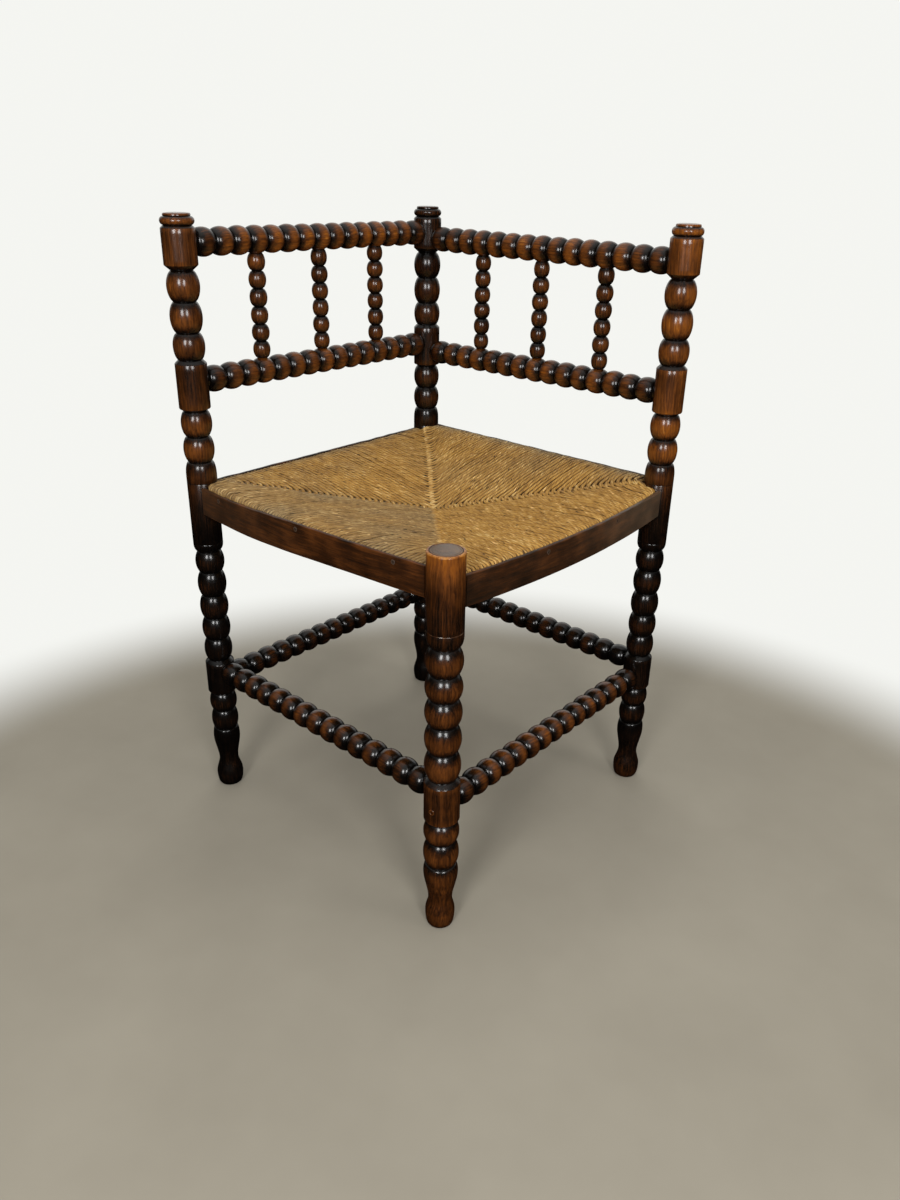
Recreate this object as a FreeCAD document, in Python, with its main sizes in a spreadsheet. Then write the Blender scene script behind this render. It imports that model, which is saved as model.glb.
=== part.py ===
import FreeCAD, Part
import Sketcher
import math
import os

# A corner chair: three tall bobbin-turned posts, a short front leg, two spindled back panels that
# meet at the back post, eight bobbin-turned rails and stretchers, and a dished rush seat whose
# edges are covered by thin boards.  The seat is a square that stands on one corner: seen from the
# front leg, one back panel lies to the left and one to the right.
#
# X runs along the front-left and back-right sides, Y along the front-right and back-left sides,
# Z is up.  The origin is on the floor, in the middle of the chair's outer box.

Vector = FreeCAD.Vector

doc = FreeCAD.newDocument("CornerChair")
sheet = doc.addObject("Spreadsheet::Sheet", "Sizes")

DRIVING_SIZES = [
    # Plan
    ("post_spacing_x", 405, "post axis to post axis along X"),
    ("post_spacing_y", 405, "post axis to post axis along Y"),
    # Radii of the tall posts
    ("block_radius", 18.6, "plain blocks that take the rails"),
    ("bead_radius", 18.4, "crown of the post beads"),
    ("leg_notch_radius", 15.8, "notch between beads below the seat"),
    ("back_notch_radius", 14.0, "notch between beads above the seat"),
    ("foot_bulb_radius", 18.2, "bulb that stands on the floor"),
    ("foot_waist_radius", 13.4, "waist over the bulb, and the standing face"),
    ("cap_radius", 18.9, "ring round the post top"),
    ("cap_neck_radius", 16, "groove under the ring"),
    ("cap_face_radius", 14.5, "flat disc on the post top"),
    # Heights of the turned sections, from the floor up
    ("foot_bulb_height", 43, "floor to waist"),
    ("foot_vase_height", 49.7, "waist to first notch"),
    ("foot_neck_height", 9, "slender part of the vase"),
    ("ankle_pitch", 27.2, "bead pitch under the stretcher block"),
    ("stretcher_block_height", 51.8, "block that takes the stretchers"),
    ("leg_pitch", 31.3, "bead pitch between stretchers and seat"),
    ("seat_block_height", 116.9, "block that takes the seat"),
    ("waist_pitch", 31.3, "bead pitch just above the seat"),
    ("mid_block_height", 59.1, "block that takes the middle rails"),
    ("back_pitch", 33, "bead pitch between the back rails"),
    ("top_block_height", 48.1, "block that takes the top rails"),
    ("cap_height", 12, "ring and disc on the post top"),
    ("block_chamfer", 4.5, "sloped end of each block"),
    # The front leg, thicker than the posts and a little taller than the seat
    ("front_swell", 1.6, "extra radius of the front leg"),
    ("front_block_extra", 4, "extra height of its stretcher block"),
    ("front_shoulder_rise", 5.7, "its seat block starts this much higher"),
    ("front_top_rise", 19.5, "its top above the seat boards"),
    ("front_top_rounding", 3, "rounded rim of its top"),
    # Bobbin-turned rails, stretchers and spindles
    ("rail_bead_radius", 16.3, "crown of the back rail beads"),
    ("rail_notch_radius", 11, "notch of the back rail beads"),
    ("stretcher_bead_radius", 15.6, "crown of the stretcher beads"),
    ("stretcher_notch_radius", 10.5, "notch of the stretcher beads"),
    ("spindle_bead_radius", 10.5, "crown of the spindle beads"),
    ("spindle_notch_radius", 5.6, "notch of the spindle beads"),
    ("rail_stagger", 11, "left back rails above the right ones"),
    ("mid_rail_drop", 1.9, "middle rails below the middle of their block"),
    ("stretcher_stagger", 16, "X stretchers above the Y stretchers"),
    ("stretcher_rise", 2.9, "stretchers above the middle of their block"),
    # Joints
    ("tenon_length", 11, "round tenon at each end of a rail"),
    ("tenon_web", 1, "wood left between crossing tenons"),
    ("tenon_fit", 0.15, "gap round a tenon"),
    ("tenon_gap", 0.5, "gap past the end of a tenon"),
    ("spindle_tenon_radius", 3.6, "tenon at each end of a spindle"),
    ("spindle_tenon_length", 8, "its length"),
    # Seat frame and boards
    ("board_top_rise", 93.7, "top of the X boards above the foot of the seat block"),
    ("board_height", 35.6, "height of the edge boards"),
    ("board_thickness", 5, "thickness of the edge boards"),
    ("board_offset", 10.5, "outer face outside the post axes"),
    ("board_stagger", 6, "Y boards below the X boards"),
    ("front_left_bow", 13, "bow of the front-left board"),
    ("front_right_bow", 17, "bow of the front-right board"),
    ("seat_rail_width", 12.5, "rails inside the rush"),
    ("seat_rail_height", 24, "rails inside the rush"),
    ("seat_rail_stagger", 8, "Y rails below the X rails"),
    # Rush seat
    ("rush_thickness", 5, "rush over a rail"),
    ("rush_lip", 0.5, "rush above the X boards"),
    ("seat_dish", 39.5, "edge of the rush to its middle"),
    ("rush_core", 12, "rush at the middle of the seat"),
    ("rush_rounding", 4, "rounded edge of the rush"),
    ("rush_clearance", 0.3, "gap between the rush and posts or boards"),
    # Nails and peg
    ("nail_radius", 1.6, "nails through the front boards"),
    ("nail_length", 18, "from the head inwards"),
    ("nail_proud", 0.4, "head outside the board"),
    ("nail_drop", 8, "below the board's top edge"),
    ("left_nail_step", 150, "front-left board"),
    ("right_nail_step", 130, "front-right board"),
    ("peg_radius", 3, "peg in the stretcher block of the front leg"),
    ("peg_length", 6, "its length"),
    ("peg_aside", 3, "from the middle of the flat that it is in"),
]
for row, (alias, value, meaning) in enumerate(DRIVING_SIZES, start=1):
    sheet.set("A%d" % row, meaning)
    sheet.set("B%d" % row, str(value))
    sheet.setAlias("B%d" % row, alias)
doc.recompute()


def size(alias):
    return float(sheet.get(alias))


# How many of each turned detail there are
ANKLE_BEADS = 2
LEG_BEADS = 5
WAIST_BEADS = 2
BACK_BEADS = 3
RAIL_BEADS = 15
SPINDLE_BEADS = 6
SPINDLES = 3
SPINDLE_STEP = 4
LEFT_NAILS = 3
RIGHT_NAILS = 2

# Turned pieces are cut as flats: more on the thick posts than on the slim rails and spindles.
# Nails are square, as cut nails are.
POST_SIDES = 12
RAIL_SIDES = 8
SPINDLE_SIDES = 6
TENON_SIDES = 6
NAIL_SIDES = 4
BEAD_SHOULDER = 0.27
RAIL_RUNS = 6
RUSH_STEPS = 6


def half_flat(radius, sides):
    """Distance from the axis of a turned piece to the middle of one of its flats."""
    return radius * math.cos(math.pi / sides)


# Heights of the turned sections of a tall post
foot_top = size("foot_bulb_height") + size("foot_vase_height")
stretcher_block = foot_top + ANKLE_BEADS * size("ankle_pitch")
leg_beads = stretcher_block + size("stretcher_block_height")
seat_block = leg_beads + LEG_BEADS * size("leg_pitch")
waist_beads = seat_block + size("seat_block_height")
mid_block = waist_beads + WAIST_BEADS * size("waist_pitch")
back_beads = mid_block + size("mid_block_height")
top_block = back_beads + BACK_BEADS * size("back_pitch")
cap = top_block + size("top_block_height")

# Heights on the front leg
front_leg_beads = leg_beads + size("front_block_extra")
front_seat_block = seat_block + size("front_shoulder_rise")
front_radius = size("block_radius") + size("front_swell")

# Heights of rails, stretchers and seat
top_middle = top_block + size("top_block_height") / 2
mid_middle = mid_block + size("mid_block_height") / 2 - size("mid_rail_drop")
stretcher_middle = stretcher_block + size("stretcher_block_height") / 2 + size("stretcher_rise")
half_rail_stagger = size("rail_stagger") / 2
half_stretcher_stagger = size("stretcher_stagger") / 2
seat_level = seat_block + size("board_top_rise")
rush_crest_x = seat_level + size("rush_lip")
rush_crest_y = rush_crest_x - size("seat_rail_stagger")
front_top = seat_level + size("front_top_rise")

# Tenons are as thick as the stagger of the two that enter one post allows
rail_tenon_radius = (size("rail_stagger") - size("tenon_web")) / 2
seat_tenon_radius = (size("seat_rail_stagger") - size("tenon_web")) / 2

# Plan: the front boards reach out further than the posts behind, and the origin is in the middle
post_reach = half_flat(size("cap_radius"), POST_SIDES)
left_board_reach = size("board_offset") + size("front_left_bow") + size("nail_proud")
right_board_reach = size("board_offset") + size("front_right_bow")
shift_x = (post_reach - right_board_reach) / 2
shift_y = (left_board_reach - post_reach) / 2
west = shift_x - size("post_spacing_x") / 2
east = shift_x + size("post_spacing_x") / 2
south = shift_y - size("post_spacing_y") / 2
north = shift_y + size("post_spacing_y") / 2

CORNERS = {
    "left": Vector(west, south, 0),
    "back": Vector(west, north, 0),
    "right": Vector(east, north, 0),
    "front": Vector(east, south, 0),
}
BLOCK_RADII = {
    "left": size("block_radius"),
    "back": size("block_radius"),
    "right": size("block_radius"),
    "front": front_radius,
}
# Each side runs along +X or +Y from its first corner to its second
SIDES = {
    "front_left": ("left", "front", "x"),
    "front_right": ("front", "right", "y"),
    "back_left": ("left", "back", "y"),
    "back_right": ("back", "right", "x"),
}
SPACING = {"x": size("post_spacing_x"), "y": size("post_spacing_y")}
# A piece that lies along a side is modelled along its own Z, with its own X up
ALONG = {
    "x": FreeCAD.Rotation(Vector(0, 0, 1), Vector(0, -1, 0), Vector(1, 0, 0), "ZXY"),
    "y": FreeCAD.Rotation(Vector(0, 0, 1), Vector(1, 0, 0), Vector(0, 1, 0), "ZXY"),
}
# Direction from the seat towards the outside of each side
OUTWARD = {
    "front_left": Vector(0, -1, 0),
    "front_right": Vector(1, 0, 0),
    "back_left": Vector(-1, 0, 0),
    "back_right": Vector(0, 1, 0),
}


def solid_of(faces):
    solid = Part.Solid(Part.Shell(faces))
    if solid.Volume < 0:
        solid.reverse()
    return solid


def polygon_face(points):
    return Part.Face(Part.makePolygon(points + [points[0]]))


def turned(outline, sides, turn=0.5):
    """A turned piece along +Z: outline lists (height, radius) from the foot up.

    Each stretch between two points becomes a ring of flats.  With turn at 0.5 the flats of an
    even number of sides face along X, with turn at 0 the edges do.
    """
    angles = [2 * math.pi * (side + turn) / sides for side in range(sides)]
    rings = []
    for height, radius in outline:
        rings.append([Vector(radius * math.cos(a), radius * math.sin(a), height) for a in angles])
    faces = [polygon_face(rings[0]), polygon_face(rings[-1])]
    for lower, upper in zip(rings, rings[1:]):
        for side in range(sides):
            after = (side + 1) % sides
            faces.append(polygon_face([lower[side], lower[after], upper[after], upper[side]]))
    return solid_of(faces)


def bead_run(foot, pitch, count, notch, crown):
    """Outline of a run of beads, without the notch that ends it."""
    run = []
    for number in range(count):
        base = foot + number * pitch
        run.append((base, notch))
        run.append((base + BEAD_SHOULDER * pitch, crown))
        run.append((base + (1 - BEAD_SHOULDER) * pitch, crown))
    return run


def block_run(foot, height, notch, radius):
    """Outline of a plain block with sloped ends, without the notch that ends it."""
    slope = size("block_chamfer")
    return [(foot, notch), (foot + slope, radius), (foot + height - slope, radius)]


def foot_run(swell):
    """Outline of the foot: a bulb on the floor, a waist and a vase.  Only the vase swells."""
    bulb_top = size("foot_bulb_height")
    vase = foot_top - bulb_top - size("foot_neck_height")
    waist = size("foot_waist_radius")
    crown = size("bead_radius") + swell
    run = bead_run(0, bulb_top, 1, waist, size("foot_bulb_radius"))
    run.append((bulb_top, waist))
    run += bead_run(bulb_top + size("foot_neck_height"), vase, 1, waist, crown)
    return run


def leg_run(swell, beads_from, beads_to):
    """Outline of the foot, the ankle, the stretcher block and the beads up to the seat."""
    notch = size("leg_notch_radius") + swell
    crown = size("bead_radius") + swell
    block = size("block_radius") + swell
    pitch = (beads_to - beads_from) / LEG_BEADS
    run = foot_run(swell)
    run += bead_run(foot_top, size("ankle_pitch"), ANKLE_BEADS, notch, crown)
    run += block_run(stretcher_block, beads_from - stretcher_block, notch, block)
    run += bead_run(beads_from, pitch, LEG_BEADS, notch, crown)
    return run


def tall_post():
    crown = size("bead_radius")
    block = size("block_radius")
    notch = size("back_notch_radius")
    ring = size("cap_radius")
    ring_height = size("cap_height") / 4
    outline = leg_run(0, leg_beads, seat_block)
    outline += block_run(seat_block, size("seat_block_height"), size("leg_notch_radius"), block)
    outline += bead_run(waist_beads, size("waist_pitch"), WAIST_BEADS, notch, crown)
    outline += block_run(mid_block, size("mid_block_height"), notch, block)
    outline += bead_run(back_beads, size("back_pitch"), BACK_BEADS, notch, crown)
    outline += block_run(top_block, size("top_block_height"), notch, block)
    outline.append((cap, size("cap_neck_radius")))
    outline.append((cap + ring_height, ring))
    outline.append((cap + 2 * ring_height, ring))
    outline.append((cap + size("cap_height"), size("cap_face_radius")))
    return turned(outline, POST_SIDES)


def short_leg():
    rounding = size("front_top_rounding")
    outline = leg_run(size("front_swell"), front_leg_beads, front_seat_block)
    outline.append((front_seat_block, size("leg_notch_radius") + size("front_swell")))
    outline.append((front_seat_block + size("block_chamfer"), front_radius))
    outline.append((front_top - rounding, front_radius))
    outline.append((front_top, front_radius - rounding))
    return turned(outline, POST_SIDES)


# Helpers that put a shape, a cut or a group of tools into the document
def feature(label, shape, placement=FreeCAD.Placement()):
    item = doc.addObject("Part::Feature", label)
    item.Label = label
    item.Shape = shape
    item.Placement = placement
    return item


def group(label, items):
    item = doc.addObject("Part::Compound", label)
    item.Label = label
    item.Links = items
    return item


def cut(label, base, tool):
    item = doc.addObject("Part::Cut", label)
    item.Label = label
    item.Base = base
    item.Tool = tool
    return item


mortises = {name: [] for name in CORNERS}


def along_side(side, level, reach=0):
    """Placement at the first corner of a side, with Z along the side, set outwards by reach."""
    first, last, direction = SIDES[side]
    base = CORNERS[first] + OUTWARD[side] * reach + Vector(0, 0, level)
    return FreeCAD.Placement(base, ALONG[direction])


def shoulders(side):
    """Where a piece along a side meets the flats of its two posts, measured along the side."""
    first, last, direction = SIDES[side]
    start = half_flat(BLOCK_RADII[first], POST_SIDES)
    end = SPACING[direction] - half_flat(BLOCK_RADII[last], POST_SIDES)
    return start, end


def rod(radius, start, end, sides=TENON_SIDES):
    return turned([(start, radius), (end, radius)], sides, 0)


def tenons(side, level, reach, radius):
    """Both tenons of a piece along a side.  Their mortises are noted for the two posts."""
    first, last, direction = SIDES[side]
    start, end = shoulders(side)
    length = size("tenon_length")
    hole = radius + size("tenon_fit")
    deep = length + size("tenon_gap")
    placement = along_side(side, level, reach)
    number = len(mortises[first]) + len(mortises[last])
    for corner, low, high in ((first, start - deep, start + length),
                              (last, end - length, end + deep)):
        label = "mortise_%s_%s_%d" % (corner, side, number)
        mortises[corner].append(feature(label, rod(hole, low, high), placement))
    return [rod(radius, start - length, start + length), rod(radius, end - length, end + length)]


def bobbin_rail(label, side, level, notch, crown):
    """A row of beads from post to post, with a tenon at each end."""
    start, end = shoulders(side)
    pitch = (end - start) / RAIL_BEADS
    outline = bead_run(start, pitch, RAIL_BEADS, notch, crown)
    outline.append((end, notch))
    shape = turned(outline, RAIL_SIDES).fuse(tenons(side, level, 0, rail_tenon_radius))
    return feature(label, shape, along_side(side, level))


def back_rail(label, side, level):
    return bobbin_rail(label, side, level, size("rail_notch_radius"), size("rail_bead_radius"))


def stretcher(label, side, level):
    notch = size("stretcher_notch_radius")
    return bobbin_rail(label, side, level, notch, size("stretcher_bead_radius"))


def spindle_place(side, number):
    """Foot of a spindle: it stands on the crown of a rail bead."""
    first, last, direction = SIDES[side]
    start, end = shoulders(side)
    bead = RAIL_BEADS // 2 + SPINDLE_STEP * (number - SPINDLES // 2)
    distance = start + (end - start) / RAIL_BEADS * (bead + 0.5)
    step = Vector(distance, 0, 0) if direction == "x" else Vector(0, distance, 0)
    return CORNERS[first] + step


def back_panel(hand, side, top_level, mid_level):
    """Top rail, middle rail and the spindles between them."""
    top_blank = back_rail("top_rail_blank_" + hand, side, top_level)
    mid_blank = back_rail("mid_rail_blank_" + hand, side, mid_level)
    crown = half_flat(size("rail_bead_radius"), RAIL_SIDES)
    foot = mid_level + crown
    head = top_level - crown
    long = size("spindle_tenon_length")
    radius = size("spindle_tenon_radius")
    notch = size("spindle_notch_radius")
    pitch = (head - foot) / SPINDLE_BEADS
    outline = bead_run(foot, pitch, SPINDLE_BEADS, notch, size("spindle_bead_radius"))
    outline.append((head, notch))
    spindle_tenons = [rod(radius, foot - long, foot + long), rod(radius, head - long, head + long)]
    shape = turned(outline, SPINDLE_SIDES).fuse(spindle_tenons)
    deep = long + size("tenon_gap")
    hole = rod(radius + size("tenon_fit"), foot - deep, head + deep)
    holes = []
    nodes = []
    for number in range(SPINDLES):
        placement = FreeCAD.Placement(spindle_place(side, number), FreeCAD.Rotation())
        nodes.append(feature("spindle_%s_%d" % (hand, number + 1), shape, placement))
        holes.append(feature("spindle_hole_%s_%d" % (hand, number + 1), hole, placement))
    drill = group("spindle_holes_" + hand, holes)
    nodes.append(cut("top_rail_" + hand, top_blank, drill))
    nodes.append(cut("mid_rail_" + hand, mid_blank, drill))
    return nodes


BOWS = {"front_left": "front_left_bow", "front_right": "front_right_bow"}
TURNS = {"front_left": 180, "front_right": -90, "back_left": 90, "back_right": 0}


def bow_radius(half_chord, bow):
    return (half_chord ** 2 + bow ** 2) / (2 * bow)


def side_reach(side, inset, distance):
    """How far a line inset from the outer face of a board stands outside the post axes.

    The distance is measured along the side from its middle.
    """
    if side not in BOWS:
        return size("board_offset") - inset
    half_chord = SPACING[SIDES[side][2]] / 2
    bow = size(BOWS[side])
    radius = bow_radius(half_chord, bow)
    return size("board_offset") + bow - radius + math.sqrt((radius - inset) ** 2 - distance ** 2)


def side_middle(side, distance=0):
    """Point midway between the two post axes of a side, moved along the side by distance."""
    first, last, direction = SIDES[side]
    step = Vector(distance, 0, 0) if direction == "x" else Vector(0, distance, 0)
    return (CORNERS[first] + CORNERS[last]) * 0.5 + step


def side_frame(side, level):
    """Placement at the middle of a board's outer chord: X along the side, Y outwards, Z up."""
    base = side_middle(side) + OUTWARD[side] * size("board_offset") + Vector(0, 0, level)
    return FreeCAD.Placement(base, FreeCAD.Rotation(Vector(0, 0, 1), TURNS[side]))


def bowed_board(side, level):
    """A board bent outwards: both of its long faces are arcs about one centre."""
    body = doc.addObject("PartDesign::Body", "board_" + side)
    sketch = body.newObject("Sketcher::SketchObject", "plan_" + side)
    floor = [plane for plane in body.Origin.OriginFeatures if plane.Role == "XY_Plane"][0]
    sketch.AttachmentSupport = [(floor, "")]
    sketch.MapMode = "FlatFace"
    half_chord = SPACING[SIDES[side][2]] / 2
    outer = bow_radius(half_chord, size(BOWS[side]))
    inner = outer - size("board_thickness")
    centre = Vector(0, size(BOWS[side]) - outer, 0)
    edges = []
    for radius in (outer, inner):
        lean = math.asin(half_chord / radius)
        circle = Part.Circle(centre, Vector(0, 0, 1), radius)
        edges.append(Part.ArcOfCircle(circle, math.pi / 2 - lean, math.pi / 2 + lean))
    edges.append(Part.LineSegment(edges[0].StartPoint, edges[1].StartPoint))
    edges.append(Part.LineSegment(edges[0].EndPoint, edges[1].EndPoint))
    sketch.addGeometry(edges, False)
    span = "Sizes.post_spacing_" + SIDES[side][2]
    bow = "Sizes." + BOWS[side]
    outer_size = "(%s ^ 2 / 4 + %s ^ 2) / (2 * %s)" % (span, bow, bow)
    rules = [
        (Sketcher.Constraint("Coincident", 0, 1, 2, 1), None),
        (Sketcher.Constraint("Coincident", 1, 1, 2, 2), None),
        (Sketcher.Constraint("Coincident", 0, 2, 3, 1), None),
        (Sketcher.Constraint("Coincident", 1, 2, 3, 2), None),
        (Sketcher.Constraint("Coincident", 0, 3, 1, 3), None),
        (Sketcher.Constraint("PointOnObject", 0, 3, -2), None),
        (Sketcher.Constraint("Vertical", 2), None),
        (Sketcher.Constraint("Vertical", 3), None),
        (Sketcher.Constraint("Symmetric", 0, 1, 0, 2, -2), None),
        (Sketcher.Constraint("DistanceX", 0, 2, 0, 1, 2 * half_chord), span),
        (Sketcher.Constraint("DistanceY", 0, 3, -1, 1, -centre.y), outer_size + " - " + bow),
        (Sketcher.Constraint("Radius", 0, outer), outer_size),
        (Sketcher.Constraint("Radius", 1, inner), outer_size + " - Sizes.board_thickness"),
    ]
    for constraint, expression in rules:
        index = sketch.addConstraint(constraint)
        if expression:
            sketch.setExpression("Constraints[%d]" % index, expression)
    pad = body.newObject("PartDesign::Pad", "bent_" + side)
    pad.Profile = sketch
    pad.setExpression("Length", "Sizes.board_height")
    body.Tip = pad
    body.Placement = side_frame(side, level)
    return body


def straight_bar(label, side, level, inset, thickness, height):
    """A straight bar from post axis to post axis.  Thickness and height are cells of the sheet."""
    bar = doc.addObject("Part::Box", label)
    bar.setExpression("Length", "Sizes.post_spacing_" + SIDES[side][2])
    bar.setExpression("Width", "Sizes." + thickness)
    bar.setExpression("Height", "Sizes." + height)
    corner = Vector(-SPACING[SIDES[side][2]] / 2, -inset - size(thickness), 0)
    bar.Placement = side_frame(side, level).multiply(FreeCAD.Placement(corner, FreeCAD.Rotation()))
    return bar


def bent_bar(label, side, level, inset, thickness, height):
    """A bar that follows a bowed board in straight runs: the rush hides it."""
    half_chord = SPACING[SIDES[side][2]] / 2
    stations = [half_chord * (2 * step / RAIL_RUNS - 1) for step in range(RAIL_RUNS + 1)]
    plan = []
    for depth, along in ((inset, stations), (inset + size(thickness), stations[::-1])):
        for x in along:
            plan.append(Vector(x, side_reach(side, depth, x) - size("board_offset"), 0))
    shape = polygon_face(plan).extrude(Vector(0, 0, size(height)))
    return feature(label, shape, side_frame(side, level))


# Turned blanks of the posts, before their mortises are drilled
tall_blank = tall_post()
turned_posts = {"left": tall_blank, "back": tall_blank, "right": tall_blank, "front": short_leg()}
blanks = {}
for name, corner in CORNERS.items():
    place = FreeCAD.Placement(corner, FreeCAD.Rotation())
    blanks[name] = feature("blank_" + name, turned_posts[name], place)
all_blanks = group("all_blanks", list(blanks.values()))

# Back panels: the left one stands higher than the right one, so their tenons miss each other
nodes = back_panel("left", "back_left", top_middle + half_rail_stagger, mid_middle + half_rail_stagger)
nodes += back_panel("right", "back_right", top_middle - half_rail_stagger, mid_middle - half_rail_stagger)

# Stretchers: the X pair stands higher than the Y pair
for side, (first, last, direction) in SIDES.items():
    lift = half_stretcher_stagger if direction == "x" else -half_stretcher_stagger
    nodes.append(stretcher("stretcher_" + side, side, stretcher_middle + lift))


# Nails through the front boards into the seat rails behind them
def board_top(side):
    return seat_level if SIDES[side][2] == "x" else seat_level - size("board_stagger")


def board_nails(side, count, step):
    nails = []
    for number in range(count):
        distance = step * (number - (count - 1) / 2)
        head = side_reach(side, 0, distance) + size("nail_proud")
        height = Vector(0, 0, board_top(side) - size("nail_drop"))
        place = side_middle(side, distance) + OUTWARD[side] * head + height
        inwards = FreeCAD.Rotation(Vector(0, 0, 1), OUTWARD[side] * -1)
        shank = rod(size("nail_radius"), 0, size("nail_length"), NAIL_SIDES)
        label = "nail_%s_%d" % (side, number + 1)
        nails.append(feature(label, shank, FreeCAD.Placement(place, inwards)))
    return nails


nails = board_nails("front_left", LEFT_NAILS, size("left_nail_step"))
nails += board_nails("front_right", RIGHT_NAILS, size("right_nail_step"))
apron_nails = group("apron_nails", nails)
nodes.append(apron_nails)

# Edge boards: coped to the posts, the front ones nailed
for side in SIDES:
    level = board_top(side) - size("board_height")
    if side in BOWS:
        coped = cut("coped_board_" + side, bowed_board(side, level), all_blanks)
        nodes.append(cut("apron_" + side, coped, apron_nails))
    else:
        board = straight_bar("board_" + side, side, level, 0, "board_thickness", "board_height")
        nodes.append(cut("apron_" + side, board, all_blanks))

# Seat rails inside the rush: coped to the posts, with a round tenon at each end
rail_inset = size("board_thickness") + size("rush_thickness")
seat_rails = []
for side, (first, last, direction) in SIDES.items():
    crest = rush_crest_x if direction == "x" else rush_crest_y
    level = crest - size("rush_thickness") - size("seat_rail_height")
    make_bar = bent_bar if side in BOWS else straight_bar
    bar = make_bar("bar_" + side, side, level, rail_inset, "seat_rail_width", "seat_rail_height")
    coped = cut("coped_bar_" + side, bar, all_blanks)
    middle_level = level + size("seat_rail_height") / 2
    shoulder = SPACING[direction] / 2 - size("block_radius")
    reach = side_reach(side, rail_inset, shoulder) - size("seat_rail_width") / 2
    stubs = []
    for stub in tenons(side, middle_level, reach, seat_tenon_radius):
        stubs.append(feature("tenon_" + side, stub, along_side(side, middle_level, reach)))
    joined = doc.addObject("Part::MultiFuse", "joined_" + side)
    joined.Shapes = [coped] + stubs
    if side in BOWS:
        seat_rails.append(cut("seat_rail_" + side, joined, apron_nails))
    else:
        joined.Label = "seat_rail_" + side
        seat_rails.append(joined)
nodes += seat_rails


# Rush seat: four fields that slope from the rails to the middle, over a flatter underside
def rush_ring(share, height_of):
    """Points round the seat.  Share 1 is the edge of the rush and share 0 its middle."""
    points = []
    inset = size("board_thickness") + size("rush_clearance")
    for side in ("front_left", "front_right", "back_right", "back_left"):
        direction = SIDES[side][2]
        half_chord = SPACING[direction] / 2
        forward = 1 if side in ("front_left", "front_right") else -1
        for step in range(RUSH_STEPS + 1):
            distance = forward * half_chord * (2 * step / RUSH_STEPS - 1)
            edge = side_middle(side, distance) + OUTWARD[side] * side_reach(side, inset, distance)
            plan = seat_middle + (edge - seat_middle) * share
            points.append(plan + Vector(0, 0, height_of(direction, abs(distance) / half_chord)))
    return points


def crest_height(direction, closeness):
    """Height of the rolled edge.  Near a post the X and Y edges run to one height."""
    crest = rush_crest_x if direction == "x" else rush_crest_y
    corner = (rush_crest_x + rush_crest_y) / 2
    return crest + (corner - crest) * closeness ** 4


def underside_height(direction, closeness):
    return crest_height(direction, closeness) - size("seat_rail_height") - 2 * size("rush_thickness")


def band(lower, upper):
    """Triangles between two rings with as many points each."""
    faces = []
    for index in range(len(lower)):
        after = (index + 1) % len(lower)
        faces.append(polygon_face([lower[index], lower[after], upper[after]]))
        faces.append(polygon_face([lower[index], upper[after], upper[index]]))
    return faces


def fan(ring, tip):
    return [polygon_face([ring[i], ring[(i + 1) % len(ring)], tip]) for i in range(len(ring))]


seat_middle = (CORNERS["left"] + CORNERS["right"]) * 0.5
rounding = size("rush_rounding")
rim_share = 1 - rounding / (size("post_spacing_x") / 2)
dish_bottom = rush_crest_x - size("seat_dish")
rings = [
    rush_ring(rim_share, underside_height),
    rush_ring(1, lambda direction, closeness: underside_height(direction, closeness) + rounding),
    rush_ring(1, lambda direction, closeness: crest_height(direction, closeness) - rounding),
    rush_ring(rim_share, crest_height),
]
faces = fan(rings[0], seat_middle + Vector(0, 0, dish_bottom - size("rush_core")))
faces += fan(rings[-1], seat_middle + Vector(0, 0, dish_bottom))
for lower, upper in zip(rings, rings[1:]):
    faces += band(lower, upper)
rush_blank = feature("rush_blank", solid_of(faces))

post_gaps = []
for name, corner in CORNERS.items():
    gap = turned([(seat_block, BLOCK_RADII[name] + size("rush_clearance")),
                  (waist_beads, BLOCK_RADII[name] + size("rush_clearance"))], POST_SIDES)
    post_gaps.append(feature("post_gap_" + name, gap, FreeCAD.Placement(corner, FreeCAD.Rotation())))
between_posts = cut("rush_between_posts", rush_blank, group("post_gaps", post_gaps))
over_rails = cut("rush_over_rails", between_posts, group("rail_group", seat_rails))
nodes.append(cut("rush_seat", over_rails, apron_nails))

# Peg in the front leg, opposite the tenon of the front-right stretcher
peg_level = stretcher_middle - half_stretcher_stagger
peg_face = half_flat(front_radius, POST_SIDES)
peg_head = CORNERS["front"] + Vector(size("peg_aside"), -peg_face, peg_level)
peg_place = FreeCAD.Placement(peg_head, FreeCAD.Rotation(Vector(0, 0, 1), Vector(0, 1, 0)))
leg_peg = feature("leg_peg", rod(size("peg_radius"), 0, size("peg_length")), peg_place)
nodes.append(leg_peg)

# Posts and leg with their mortises
mortises["front"].append(leg_peg)
for name, label in zip(CORNERS, ("post_left", "post_back", "post_right", "front_leg")):
    nodes.append(cut(label, blanks[name], group("mortises_" + name, mortises[name])))

doc.recompute()

for item in doc.Objects:
    if "Invalid" in item.State or "Error" in item.State:
        raise RuntimeError("%s: %s" % (item.Label, item.State))
for node in nodes:
    if node.Shape.isNull() or not node.Shape.isValid():
        raise RuntimeError("%s has no valid shape" % node.Label)

os.makedirs("parts", exist_ok=True)
for node in nodes:
    node.Shape.exportStep("parts/%s.step" % node.Label)
print("%d nodes" % len(nodes))
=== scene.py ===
import math
import random

import bpy
import numpy as np
from mathutils import Matrix, Vector, noise


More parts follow.
